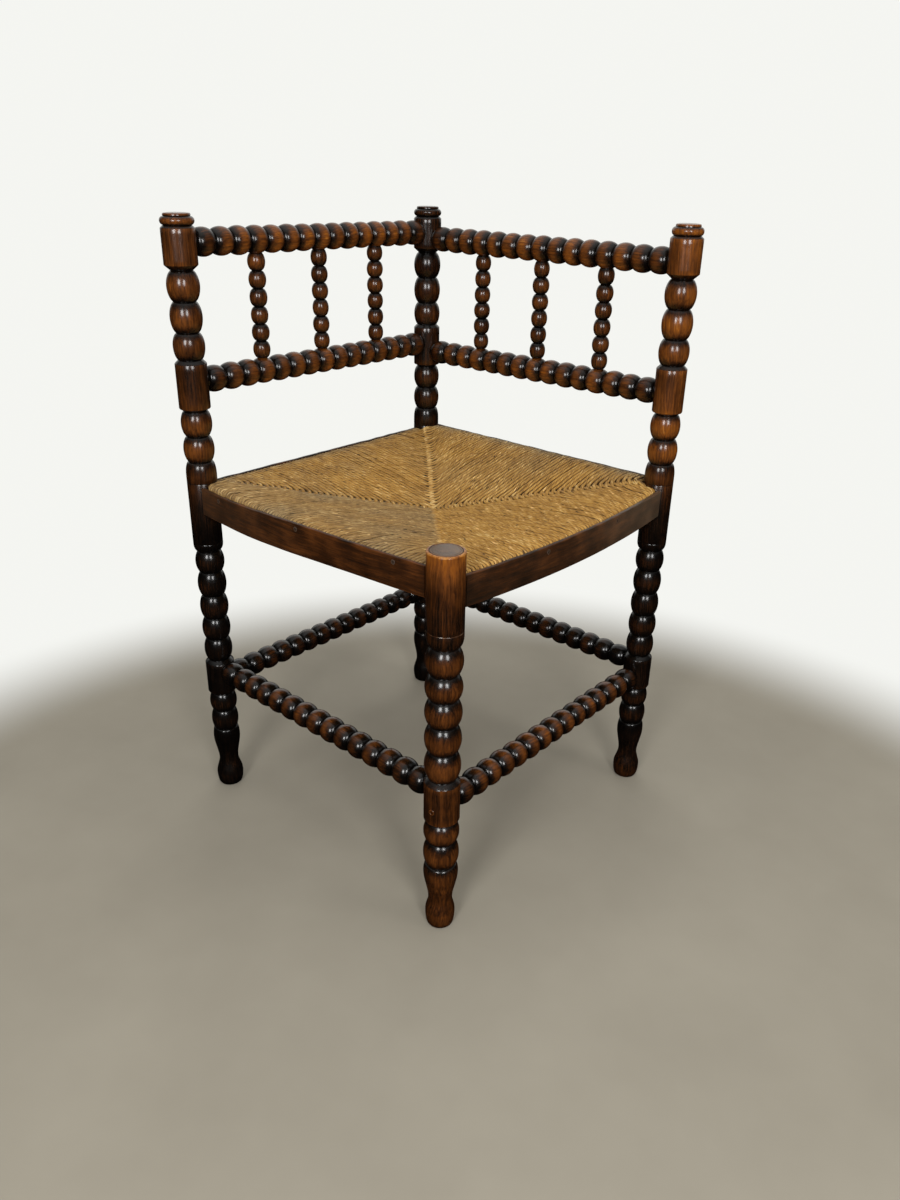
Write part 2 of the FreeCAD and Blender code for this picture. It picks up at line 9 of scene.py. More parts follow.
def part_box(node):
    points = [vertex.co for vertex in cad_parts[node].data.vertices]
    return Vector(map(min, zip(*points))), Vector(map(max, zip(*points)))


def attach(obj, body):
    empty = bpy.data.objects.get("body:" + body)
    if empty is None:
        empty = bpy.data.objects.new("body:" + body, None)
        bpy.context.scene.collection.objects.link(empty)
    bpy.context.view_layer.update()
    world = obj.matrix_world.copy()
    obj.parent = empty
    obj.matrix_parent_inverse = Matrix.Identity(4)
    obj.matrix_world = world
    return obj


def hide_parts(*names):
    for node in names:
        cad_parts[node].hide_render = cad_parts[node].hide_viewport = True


# A corner chair of bobbin-turned wood with a rush seat.  X runs along the front-left and
# back-right sides, Y along the front-right and back-left sides, Z is up.
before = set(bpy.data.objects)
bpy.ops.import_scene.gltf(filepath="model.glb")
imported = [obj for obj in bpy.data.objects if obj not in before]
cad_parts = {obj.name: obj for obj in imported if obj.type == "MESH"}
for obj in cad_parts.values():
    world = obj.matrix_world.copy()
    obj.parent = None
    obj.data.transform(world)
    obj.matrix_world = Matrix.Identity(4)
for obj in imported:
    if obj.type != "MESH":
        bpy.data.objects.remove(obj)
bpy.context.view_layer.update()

MM = 0.001
# The level direction from the chair to the camera
FRONT = Vector((0.67, -0.74, 0))


# Places read from the frame, in millimetres
def low(node):
    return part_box(node)[0] / MM


def high(node):
    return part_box(node)[1] / MM


def middle(node):
    return (low(node) + high(node)) / 2


west, south = middle("post_left").xy
east, north = middle("post_right").xy
half_x = (east - west) / 2
half_y = (north - south) / 2
seat_middle = Vector(((west + east) / 2, (south + north) / 2, 0))
post_top = high("post_left").z
leg_top = high("front_leg").z
board_offset = high("apron_back_right").y - north
CORNERS = {
    "left": Vector((west, south, 0)),
    "back": Vector((west, north, 0)),
    "right": Vector((east, north, 0)),
    "front": Vector((east, south, 0)),
}
# Each side runs along +X or +Y, and knows the direction away from the seat
SIDES = {
    "front_left": (Vector((1, 0, 0)), Vector((0, -1, 0))),
    "front_right": (Vector((0, 1, 0)), Vector((1, 0, 0))),
    "back_left": (Vector((0, 1, 0)), Vector((-1, 0, 0))),
    "back_right": (Vector((1, 0, 0)), Vector((0, 1, 0))),
}
BOWS = {
    "front_left": south - low("apron_front_left").y - board_offset,
    "front_right": high("apron_front_right").x - east - board_offset,
    "back_left": 0,
    "back_right": 0,
}
# Distances from a post's axis to where the pieces that meet it end, in millimetres.  The front leg
# is thicker by its swell.
RAIL_NECK = 17.9
SPINDLE_NECK = 15.2
BOARD_NECK = 15.2
RUSH_NECK = 22
SWELL = 1.6
# The front leg: radius of its stretcher block and of its top, and level of the scratch below the top
LEG_BLOCK = 20.2
LEG_RADIUS = 20.1
LEG_SCRATCH = 382.8
BOARD_THICKNESS = 5


def smooth(start, end, value):
    """An S curve from 0 at start to 1 at end."""
    share = min(max((value - start) / (end - start), 0), 1)
    return share * share * (3 - 2 * share)


def halves(side):
    """Half the spacing of a side's posts, and how far that side is from the seat's middle."""
    return (half_x, half_y) if SIDES[side][0].x else (half_y, half_x)


def ends_between(side, neck):
    """Distances from a side's middle to the two ends of a piece between its posts."""
    half = halves(side)[0]
    start = half - neck - (SWELL if side == "front_right" else 0)
    end = half - neck - (SWELL if side == "front_left" else 0)
    return start, end


def side_reach(side, inset, distance):
    """How far a line inset from a board's outer face stands outside the post axes."""
    bow = BOWS[side]
    if bow == 0:
        return board_offset - inset
    half_chord = halves(side)[0]
    radius = (half_chord ** 2 + bow ** 2) / (2 * bow)
    return board_offset + bow - radius + math.sqrt((radius - inset) ** 2 - distance ** 2)


def side_point(side, distance, outward, level):
    """A point by its distance along a side from the middle and outwards from the seat's middle."""
    along, out = SIDES[side]
    return seat_middle + along * distance + out * outward + Vector((0, 0, level))


# Meshes
def build(name, points, faces, node, material, values, vectors, sharp=40):
    """A piece from points in millimetres, with named numbers and vectors on its points.

    Edges that bend by more than sharp degrees are shown sharp.
    """
    mesh = bpy.data.meshes.new(name)
    mesh.from_pydata([tuple(p * MM for p in point) for point in points], [], faces)
    for label, data in values.items():
        layer = mesh.attributes.new(label, "FLOAT", "POINT")
        layer.data.foreach_set("value", np.asarray(data, np.float32))
    for label, data in vectors.items():
        layer = mesh.attributes.new(label, "FLOAT_VECTOR", "POINT")
        layer.data.foreach_set("vector", np.asarray(data, np.float32).ravel())
    mesh.polygons.foreach_set("use_smooth", [True] * len(mesh.polygons))
    mesh.set_sharp_from_angle(angle=math.radians(sharp))
    mesh.materials.append(material)
    piece = bpy.data.objects.new(name, mesh)
    bpy.context.scene.collection.objects.link(piece)
    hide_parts(node)
    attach(piece, "root")
    return piece


def tube_faces(first, rings, count):
    """Quads between rings of count points, of which the first starts at first, and two end faces."""
    faces = []
    for ring in range(rings - 1):
        a, b = first + ring * count, first + (ring + 1) * count
        for step in range(count):
            after = (step + 1) % count
            faces.append((a + step, b + step, b + after, a + after))
    last = first + (rings - 1) * count
    faces.append(tuple(first + step for step in range(count)))
    faces.append(tuple(last + step for step in reversed(range(count))))
    return faces


class Outline:
    """The outline of a turned piece, from its foot up.

    Each point is a radius, a level and a shade, which is -1 in a notch, darkened there by grime and
    painted shade, 0 on plain wood and more where the wood is rubbed.
    """

    def __init__(self, radius, level):
        self.points = [(radius, level, 0)]

    def to(self, radius, level, shade=0):
        self.points.append((radius, level, shade))
        return self

    def between(self, radius, level, shape, steps, shade=(0, 0)):
        """Points on the way there: shape gives how far across and up each share of it is."""
        r0, z0, _ = self.points[-1]
        for step in range(1, steps + 1):
            share = step / steps
            across, up = shape(share)
            tint = shade[0] + (shade[1] - shade[0]) * share
            self.to(r0 + (radius - r0) * across, z0 + (level - z0) * up, tint)
        return self

    def ease(self, radius, level, steps=9):
        """An S curve."""
        return self.between(radius, level, lambda t: (t * t * (3 - 2 * t), t), steps)

    def swell(self, radius, level, steps=7, shade=(-1, 0)):
        """A quarter round that starts level and ends upright."""
        quarter = math.pi / 2
        shape = lambda t: (math.sin(t * quarter), 1 - math.cos(t * quarter))
        return self.between(radius, level, shape, steps, shade)

    def roll(self, radius, level, steps=7, shade=(0, -1)):
        """A quarter round that starts upright and ends level."""
        quarter = math.pi / 2
        shape = lambda t: (1 - math.cos(t * quarter), math.sin(t * quarter))
        return self.between(radius, level, shape, steps, shade)

    def bead(self, crown, notch, level, fullness=0.62, steps=16, tint=0, grime_and_shade=1.25):
        """A round bead from here to a notch at the given level, darker at both ends: grime and painted
        shade.
        """
        r0, z0, _ = self.points[-1]
        for step in range(1, steps + 1):
            across = -math.cos(math.pi * step / steps)
            up = 0.5 + 0.5 * across
            bulge = max(1 - across ** 2, 0) ** fullness
            base = r0 + (notch - r0) * up
            # Darker towards the notches: grime and painted shade
            shade = max(1 - across ** 2, 0) ** grime_and_shade * 1.65 - 1 + tint * bulge
            self.to(base + (crown - base) * bulge, z0 + (level - z0) * up, shade)
        return self

    def block(self, radius, start, end, notch, level):
        """A plain cylinder with sloped ends, up to a notch at the given level."""
        self.to(radius - 0.5, start - 0.4, -0.5).to(radius, start + 0.5, 0.5)
        for share in (0.15, 0.5, 0.85):
            self.to(radius, start + (end - start) * share)
        return self.to(radius, end - 0.5, 0.5).to(radius - 0.5, end + 0.4, -0.5).to(notch, level, -1)

    def scribe(self, level, depth=0.3):
        """A fine line cut round a plain stretch."""
        radius = self.points[-1][0]
        self.to(radius, level - 0.6).to(radius - depth, level, -0.6)
        return self.to(radius, level + 0.6)


def tall_post(lift=1, ring=18.9, disc=15.2):
    """Outline of a tall post.  Its levels are multiplied by lift.

    Ring and disc are the radii of the ring round its top and of the disc on it.
    """
    post = Outline(0, 0).to(13.8, 0).swell(17.9, 17, shade=(-0.5, 0.3)).ease(12.9, 41)
    post.ease(17.8, 77).roll(14.9, 91.5)
    post.bead(17.8, 14, 120.5, 0.8).bead(17.9, 14, 147.2, 0.8)
    post.block(18.6, 151, 195, 13.8, 199)
    for notch, level in ((13.8, 230.4), (13.7, 261.2), (13.5, 293.2), (13.5, 326.1), (13.5, 355.3)):
        post.bead(18.1, notch, level, 0.8, tint=random.uniform(-0.4, 0.4))
    post.swell(18.4, 365).scribe(367.2).to(18.4, 405).scribe(446.6).to(18.4, 456).roll(13.6, 472.2)
    post.bead(18.4, 13, 503.5, 0.7).bead(18.3, 13.2, 534.8, 0.7)
    post.block(18.4, 537.5, 590, 13.9, 594.4)
    for crown, notch, level in ((18.3, 12.9, 624.8), (18.4, 12.7, 659.3), (18.6, 12.5, 692.9)):
        post.bead(crown, notch, level, 0.7, tint=random.uniform(-0.3, 0.5))
    post.block(19, 698.5, 737.5, 15.6, 740.5)
    post.bead(ring, 14.6, post_top - 3.6, 0.5).to(disc, post_top - 2.8, -0.3)
    post.roll(disc - 0.9, post_top - 0.5, 4, (0.3, 0.7)).to(11, post_top - 0.1, 0.2).to(0, post_top, 0.2)
    post.points = [(radius, level * lift, shade) for radius, level, shade in post.points]
    return post


def short_leg():
    """Outline of the front leg, with a ring cut in its top."""
    leg = Outline(0, 0).to(14.2, 0).swell(17.3, 18, shade=(-0.5, 0.4)).ease(13.9, 36)
    leg.ease(20, 76).roll(16.2, 86.6)
    leg.bead(20.4, 15.4, 118.6, 0.85).bead(20.3, 15.2, 146, 0.85)
    leg.block(LEG_BLOCK, 150, 198.5, 15, 202.8)
    for notch, level in ((15, 237.3), (14.8, 270.6), (14.8, 302.1), (14.6, 331.6), (14.4, 364.3)):
        leg.bead(20.4, notch, level, 0.85, tint=random.uniform(-0.3, 0.3))
    leg.swell(LEG_RADIUS, 377, 9).to(LEG_RADIUS, LEG_SCRATCH - 0.6)
    leg.to(LEG_RADIUS - 0.3, LEG_SCRATCH, 1.4).to(LEG_RADIUS, LEG_SCRATCH + 0.6)
    for level in (400, 430, leg_top - 2.2):
        leg.to(LEG_RADIUS, level)
    leg.roll(18.4, leg_top - 0.3, 6, (0.5, 0.9)).to(17.4, leg_top - 0.1, 0.2)
    leg.to(16.8, leg_top - 0.8, -1.1).to(16.2, leg_top - 0.1, -0.35)
    leg.to(14.6, leg_top - 0.05, -0.4).to(14.3, leg_top - 0.3, -0.8).to(14, leg_top, -0.45)
    return leg.to(8, leg_top, -0.45).to(0, leg_top, -0.4)


BURIED = 3


def bobbins(span, count, crown, notch, end_crown, fullness=0.6, grime_and_shade=2.2):
    """Beads along a rail or spindle whose ends are buried in what carries it."""
    bar = Outline(0, -BURIED).to(notch, -BURIED, -1).to(notch, 0, -1)
    pitch = span / count
    for number in range(count):
        at_end = number in (0, count - 1)
        jitter = random.uniform(-0.25, 0.25)
        bead_end = pitch * (number + 1) + (0 if at_end else random.uniform(-0.4, 0.4))
        tint = random.uniform(-0.25, 0.3)
        # The last number sets how far grime and painted shade reach into each bead from its notches
        bar.bead((end_crown if at_end else crown) + jitter, notch, bead_end, fullness, 18, tint, grime_and_shade)
    return bar.to(notch, span + BURIED, -1).to(0, span + BURIED, -1)


AXES = {
    "x": Matrix(((0, 0, 1), (1, 0, 0), (0, 1, 0))),
    "y": Matrix(((0, 1, 0), (0, 0, 1), (1, 0, 0))),
    "z": Matrix.Identity(3),
}


def clean(radius, level, angle):
    """No dust and no painted sheen."""
    return 0


def turned(name, node, outline, foot, axis, segments, tone, worn, rubbed=FRONT, lean=Vector(),
           dust_and_sheen=clean):
    """Turns an outline about a line through foot.

    Tone gives the brightness of the wood at a level.  The side that rubbed points to is more worn,
    lean moves the piece aside for each millimetre along it, and the dust function greys it, for dust
    and a painted sheen.
    """
    seed = random.random() * 50
    pith = random.random() * 2 * math.pi
    pith = Vector((math.cos(pith), math.sin(pith), 0)) * random.uniform(0.022, 0.04)
    tilt = random.uniform(-0.07, 0.07)
    turn = AXES[axis]
    points, faces, tones, grain, greys = [], [], [], [], []
    rings = []
    squash = random.uniform(0.002, 0.006)
    for radius, level, shade in outline.points:
        ring = []
        count = segments if radius > 0 else 1
        for step in range(count):
            angle = 2 * math.pi * step / segments
            round_off = 1 + squash * math.cos(2 * angle + seed)
            here = Vector((radius * math.cos(angle), radius * math.sin(angle), 0)) * round_off
            here.z = level
            ring.append(len(points))
            points.append(foot + turn @ here + lean * level)
            facing = (turn @ Vector((math.cos(angle), math.sin(angle), 0))).dot(rubbed)
            base = tone(level)
            # A shade below 0 darkens the notches: grime and painted shade
            gain = 0.1 + 0.62 * base if shade < 0 else 0.13
            tones.append(base + gain * shade + worn * facing * max(shade + 0.6, 0))
            greys.append(dust_and_sheen(radius, level, angle))
            inner = here * MM
            grain.append((inner.x + pith.x + tilt * inner.z, inner.y + pith.y, inner.z + seed))
        rings.append(ring)
    for lower, upper in zip(rings, rings[1:]):
        for step in range(segments):
            after = (step + 1) % segments
            if len(lower) == 1:
                faces.append((lower[0], upper[after], upper[step]))
            elif len(upper) == 1:
                faces.append((lower[step], lower[after], upper[0]))
            else:
                faces.append((lower[step], lower[after], upper[after], upper[step]))
    build(name, points, faces, node, turned_wood, {"tone": tones, "dust_and_sheen": greys},
          {"grain": grain})


# Materials
class Shading:
    """The nodes of a material or of the world.

    What feeds an input of a node is a fixed value, or a socket that gets linked to it.
    """

    def __init__(self, owner):
        owner.use_nodes = True
        self.nodes = owner.node_tree.nodes
        self.links = owner.node_tree.links

    def feed(self, node, values):
        for socket, value in values.items():
            if isinstance(value, bpy.types.NodeSocket):
                self.links.new(value, node.inputs[socket])
            else:
                node.inputs[socket].default_value = value

    def new(self, kind, values, **settings):
        """Outputs of a new node."""
        node = self.nodes.new("ShaderNode" + kind)
        for setting, value in settings.items():
            setattr(node, setting, value)
        self.feed(node, values)
        return node.outputs

    def named(self, name):
        """The numbers or vectors that a mesh carries under a name."""
        return self.new("Attribute", {}, attribute_name=name)

    def place(self):
        return self.new("TexCoord", {})["Object"]

    def number(self, operation, *values, clamp=False):
        return self.new("Math", dict(enumerate(values)), operation=operation, use_clamp=clamp)[0]

    def mix(self, factor, first, second, blend="MIX"):
        """Mixes two colours."""
        values = {"Factor": factor, "A": first, "B": second}
        return self.new("Mix", values, data_type="RGBA", blend_type=blend)["Result"]

    def ramp(self, value, stops):
        """A colour for each number, from a list of stops."""
        node = self.nodes.new("ShaderNodeValToRGB")
        ramp = node.color_ramp
        while len(ramp.elements) < len(stops):
            ramp.elements.new(0.5)
        for element, (place, colour) in zip(ramp.elements, stops):
            element.position = place
            element.color = (*colour, 1)
        self.feed(node, {0: value})
        return node.outputs[0]

    def noise(self, vector, scale, detail, roughness):
        values = {"Vector": vector, "Scale": scale, "Detail": detail, "Roughness": roughness}
        return self.new("TexNoise", values)["Fac"]

    def stretch(self, vector, scale):
        return self.new("Mapping", {"Vector": vector, "Scale": scale})[0]

    def fibres(self, vector, scale, detail, roughness):
        """Noise with its own scale along each axis, such as drawn out along the grain."""
        return self.noise(self.stretch(vector, scale), 1.0, detail, roughness)

    def bend(self, vector, scale, amount):
        """Moves a vector by slow waves."""
        waves = self.new("TexNoise", {"Vector": vector, "Scale": scale, "Detail": 2})["Color"]
        centred = self.new("VectorMath", {0: waves, 1: (0.5, 0.5, 0.5)}, operation="SUBTRACT")[0]
        values = {0: centred, 1: amount, 2: vector}
        return self.new("VectorMath", values, operation="MULTIPLY_ADD")[0]

    def bump(self, height, strength, distance):
        values = {"Height": height, "Strength": strength, "Distance": distance}
        return self.new("Bump", values)["Normal"]

    def surface(self, values):
        self.feed(self.nodes["Principled BSDF"], values)


# Colours of the stained wood by tone, from notches darkened by grime and painted shade to rubbed crowns
DARK_STAIN = [
    (0.0, (0.0015, 0.001, 0.0007)),
    (0.2, (0.0065, 0.0032, 0.0016)),
    (0.4, (0.03, 0.0092, 0.0022)),
    (0.6, (0.086, 0.0262, 0.005)),
    (0.75, (0.16, 0.0475, 0.0072)),
    (0.88, (0.25, 0.075, 0.0065)),
    (1.0, (0.42, 0.18, 0.035)),
]
# Grey mixed into the wood for dust, and for a painted sheen on the front leg's top and on the boards
DUST_AND_SHEEN = (0.26, 0.19, 0.125, 1)
HIDDEN_TONE = 0.3


def wood(name, ring_gain, streak_gain, pore_gain, roughness, varnish, use_attributes=True):
    """Stained and varnished oak: growth rings, streaks and pores along the grain, on a tone that holds
    grime and painted shade, greyed by dust and a painted sheen.

    The gains say how much each of these changes the tone.  Without attributes the grain lies along
    the object's own axes, in an even tone.
    """
    material = bpy.data.materials.new(name)
    tree = Shading(material)
    if use_attributes:
        place = tree.named("grain")["Vector"]
        value = tree.named("tone")["Fac"]
    else:
        place = tree.place()
        value = HIDDEN_TONE
    wavy = tree.bend(place, 16, (0.007, 0.007, 0))
    rings = tree.new("TexWave", {
        "Vector": tree.stretch(wavy, (100, 100, 5)),
        "Scale": 1.0,
        "Distortion": 1.6,
        "Detail": 3.0,
        "Detail Scale": 0.5,
    }, wave_type="RINGS", rings_direction="Z", wave_profile="SAW")["Fac"]
    patches = tree.fibres(place, (55, 55, 22), 2, 0.5)
    ring_share = tree.number("MULTIPLY_ADD", patches, 3.0, -1.0, clamp=True)
    ring_part = tree.number("MULTIPLY_ADD", rings, ring_gain, -ring_gain / 2)
    value = tree.number("MULTIPLY_ADD", ring_part, ring_share, value)
    broad = tree.fibres(wavy, (230, 230, 12), 3, 0.55)
    narrow = tree.fibres(wavy, (620, 620, 32), 4, 0.65)
    pores = tree.fibres(wavy, (1500, 1500, 75), 3, 0.6)
    blotches = tree.fibres(place, (34, 34, 26), 4, 0.6)
    pore_dark = tree.number("MULTIPLY_ADD", pores, -8.0, 3.5, clamp=True)
    for part, gain in ((broad, streak_gain), (narrow, 1.5 * streak_gain), (blotches, 0.5)):
        centred = tree.number("SUBTRACT", part, 0.5)
        value = tree.number("MULTIPLY_ADD", centred, gain, value)
    value = tree.number("MULTIPLY_ADD", pore_dark, -pore_gain, value, clamp=True)
    # Dust and painted sheen, in patches
    patchy = tree.number("MULTIPLY_ADD", blotches, 1.6, 0.2)
    dust_and_sheen_share = tree.number("MULTIPLY", tree.named("dust_and_sheen")["Fac"], patchy, clamp=True)
    polish = tree.number("MULTIPLY_ADD", blotches, 0.25, roughness - 0.12)
    dents = tree.fibres(place, (110, 110, 80), 3, 0.55)
    height = tree.number("MULTIPLY_ADD", pore_dark, -0.4, dents)
    height = tree.number("MULTIPLY_ADD", narrow, 0.5, height)
    tree.surface({
        "Base Color": tree.mix(dust_and_sheen_share, tree.ramp(value, DARK_STAIN), DUST_AND_SHEEN),
        "Roughness": tree.number("MULTIPLY_ADD", pore_dark, 0.12, polish),
        "Specular IOR Level": 0.06,
        "Coat Weight": varnish,
        "Coat Roughness": 0.2,
        "Normal": tree.bump(height, 0.4, 0.0004),
    })
    return material


turned_wood = wood("turned_wood", ring_gain=0.14, streak_gain=0.44, pore_gain=0.2, roughness=0.36,
                   varnish=0.85)
board_wood = wood("board_wood", ring_gain=0.12, streak_gain=0.34, pore_gain=0.14, roughness=0.4,
                  varnish=0.25)
rail_wood = wood("rail_wood", ring_gain=0.14, streak_gain=0.3, pore_gain=0.1, roughness=0.5,
                 varnish=0.1, use_attributes=False)


def rush_material():
    """Twisted rush: golden leaves with pale and dark flecks, painted shade between and under the cords,
    and greyed dirt.
    """
    material = bpy.data.materials.new("rush")
    tree = Shading(material)
    strand = tree.named("strand")["Vector"]
    leaves = tree.fibres(strand, (60, 900, 1), 3, 0.6)
    patches = tree.fibres(strand, (16, 120, 1), 3, 0.6)
    dashes = tree.fibres(strand, (75, 330, 3), 2, 0.5)
    cloud = tree.noise(tree.place(), 18, 3, 0.6)
    value = tree.number("MULTIPLY_ADD", leaves, 1.5, -0.46)
    value = tree.number("MULTIPLY_ADD", patches, 0.45, value)
    value = tree.number("MULTIPLY_ADD", cloud, 0.25, value)
    # Painted shade: darker between and under the cords
    value = tree.number("MULTIPLY_ADD", tree.named("groove_shade")["Fac"], -0.8, value)
    value = tree.number("ADD", value, 0.02, clamp=True)
    golden = tree.ramp(value, [
        (0.0, (0.025, 0.012, 0.004)),
        (0.25, (0.13, 0.06, 0.01)),
        (0.5, (0.33, 0.162, 0.03)),
        (0.75, (0.5, 0.275, 0.06)),
        (1.0, (0.78, 0.57, 0.25)),
    ])
    greyed = tree.ramp(value, [
        (0.0, (0.022, 0.015, 0.008)),
        (0.3, (0.095, 0.06, 0.026)),
        (0.6, (0.23, 0.15, 0.064)),
        (1.0, (0.5, 0.38, 0.2)),
    ])
    leaf = tree.mix(tree.named("aged")["Fac"], golden, greyed)
    dark = tree.ramp(dashes, [(0.28, (0.12, 0.09, 0.07)), (0.34, (1, 1, 1))])
    flecks = tree.ramp(dashes, [(0.64, (0, 0, 0)), (0.74, (0.4, 0.29, 0.14))])
    shaded = tree.mix(1, leaf, dark, "MULTIPLY")
    tree.surface({
        "Base Color": tree.mix(1, shaded, flecks, "ADD"),
        "Roughness": tree.number("MULTIPLY_ADD", patches, 0.3, 0.5),
        "Specular IOR Level": 0.35,
        "Normal": tree.bump(leaves, 0.7, 0.0006),
    })
    return material


def iron_material():
    """Old nails, browned over: dull heads in a scuffed ring."""
    material = bpy.data.materials.new("nail_iron")
    tree = Shading(material)
    rust = tree.noise(tree.place(), 900, 3, 0.6)
    value = tree.number("MULTIPLY_ADD", rust, 0.5, tree.named("tone")["Fac"])
    value = tree.number("SUBTRACT", value, 0.25, clamp=True)
    tree.surface({
        "Base Color": tree.ramp(value, [
            (0.0, (0.008, 0.006, 0.005)),
            (0.4, (0.045, 0.024, 0.014)),
            (1.0, (0.2, 0.13, 0.08)),
        ]),
        "Roughness": tree.number("MULTIPLY_ADD", rust, 0.3, 0.4),
        "Metallic": 0.2,
    })
    return material


rush = rush_material()
nail_iron = iron_material()

# Posts and the front leg
random.seed(11)
# Brightness of the wood by height, as pairs of a level and a tone.  Each post has its own tone, and
# below the seat the posts and the leg are darker with painted shade.
POST_TONES = {
    "left": ((0, 0.03), (60, 0.04), (330, 0.07), (430, 0.19), (470, 0.52), (590, 0.35), (640, 0.48),
             (753, 0.5)),
    "back": ((0, 0.09), (60, 0.1), (330, 0.12), (460, 0.23), (640, 0.27), (753, 0.23)),
    "right": ((0, 0.34), (60, 0.13), (300, 0.09), (400, 0.16), (440, 0.42), (500, 0.65), (575, 0.56),
              (640, 0.65)),
    "front": ((0, 0.43), (360, 0.38), (380, 0.27), (410, 0.3), (440, 0.58), (468, 0.8)),
}


def level_tone(name):
    levels, tones = zip(*POST_TONES[name])
    return lambda level: float(np.interp(level, levels, tones))


# The right post was turned a little shorter, and its ring is slimmer
POSTS = {
    "left": tall_post(),
    "back": tall_post(),
    "right": tall_post(0.9965, 18.2, 14.4),
}
for name, outline in POSTS.items():
    turned("turned_post_" + name, "post_" + name, outline, CORNERS[name], "z", 64, level_tone(name),
           0.05)


def leg_dust_and_sheen(radius, level, angle):
    """The end grain on top, greyed by dullness and a painted sheen, and a scratched line round the leg.
    """
    # Grey on the top's end grain: dullness and a painted sheen
    if level > leg_top - 1 and radius < 16.6:
        return 0.34
    if abs(level - LEG_SCRATCH) < 0.1:
        round_leg = Vector((2 * math.cos(angle), 2 * math.sin(angle), 4))
        return 0.5 * smooth(-0.2, 0.3, noise.noise(round_leg))
    return 0


turned("turned_front_leg", "front_leg", short_leg(), CORNERS["front"], "z", 72, level_tone("front"),
       0.06, dust_and_sheen=leg_dust_and_sheen)


# Rails, stretchers and spindles
RAIL_BEADS = 15
SPINDLE_BEADS = 6


def rail(node, side, crown, notch, end_crown, tone, worn, rubbed=FRONT, drops=(0, 0)):
    """A bobbin rail between the two posts of a side, at the height of its solid less the drops.

    Crown, notch and end_crown are radii: of its beads, between them, and of the bead at each end.
    """
    along, out = SIDES[side]
    start, end = ends_between(side, RAIL_NECK)
    span = start + end
    foot = seat_middle + out * halves(side)[1] - along * start
    foot += Vector((0, 0, middle(node).z - drops[0]))
    lean = Vector((0, 0, (drops[0] - drops[1]) / span))
    outline = bobbins(span, RAIL_BEADS, crown, notch, end_crown)

    def darker_ends(level):
        return tone - 0.2 * (1 - smooth(8, 60, min(level, span - level)))

    turned("turned_" + node, node, outline, foot, "x" if along.x else "y", 48, darker_ends, worn, rubbed,
           lean)


# Stretchers are rubbed by feet, from above
TREAD = Vector((0.25, -0.25, 0.9))
rail("top_rail_left", "back_left", 16.3, 10, 16, 0.6, 0.06, drops=(0.8, 3))
rail("top_rail_right", "back_right", 16.3, 10, 16, 0.58, 0.06, drops=(0, 2.8))
rail("mid_rail_left", "back_left", 16.2, 10, 16, 0.54, 0.06)
rail("mid_rail_right", "back_right", 16.2, 10, 16, 0.54, 0.06)
rail("stretcher_front_left", "front_left", 15.7, 9.2, 15.2, 0.31, 0.14, TREAD)
rail("stretcher_front_right", "front_right", 15.7, 9.2, 15.2, 0.4, 0.14, TREAD)
rail("stretcher_back_left", "back_left", 15.7, 9.2, 15.2, 0.2, 0.08, TREAD)
rail("stretcher_back_right", "back_right", 15.7, 9.2, 15.2, 0.18, 0.08, TREAD)

for hand, side in (("left", "back_left"), ("right", "back_right")):
    top_rail = middle("top_rail_" + hand).z
    mid_rail = middle("mid_rail_" + hand).z
    for number in (1, 2, 3):
        node = "spindle_%s_%d" % (hand, number)
        place = middle(node)
        foot = Vector((place.x, place.y, mid_rail + SPINDLE_NECK))
        span = top_rail - mid_rail - 2 * SPINDLE_NECK
        outline = bobbins(span, SPINDLE_BEADS, 10.7, 5.4, 10.4, 0.56, 1.6)
        turned("turned_" + node, node, outline, foot, "z", 32, lambda level: 0.42, 0.06)


# Edge boards
BOARD_STEPS = 72
BOARD_EASE = 1.1


def board_edges(side, distance):
    """Levels of a board's lower and upper edges.

    Against the solids, the front-left board has sunk at its left end, the front-right one stands
    lower all along, and the tops of the back ones are lower.
    """
    bottom, top = low("apron_" + side).z, high("apron_" + side).z
    if side == "front_left":
        bottom += 7 * smooth(-120, 110, distance) - 4.5
        return bottom, top + 7.7 * smooth(-175, 60, distance) - 5.9
    if side == "front_right":
        return bottom - 2, top - 2.2 - 1.6 * smooth(100, 180, distance)
    return bottom, top - 1.8


def board_section():
    """Corners of a board, each eased in four points: depth, share of the height and rise."""
    section = []
    corners = ((0, 0, -1, 1), (BOARD_THICKNESS, 0, 1, 1), (BOARD_THICKNESS, 1, 1, -1), (0, 1, -1, -1))
    for number, (depth, share, inward, upward) in enumerate(corners):
        for step in range(4):
            angle = math.pi / 2 * step / 3
            lead, lag = (1 - math.sin(angle), 1 - math.cos(angle))
            across, rise = (lag, lead) if number % 2 == 0 else (lead, lag)
            section.append((depth - inward * BOARD_EASE * across, share, upward * BOARD_EASE * rise))
    return section


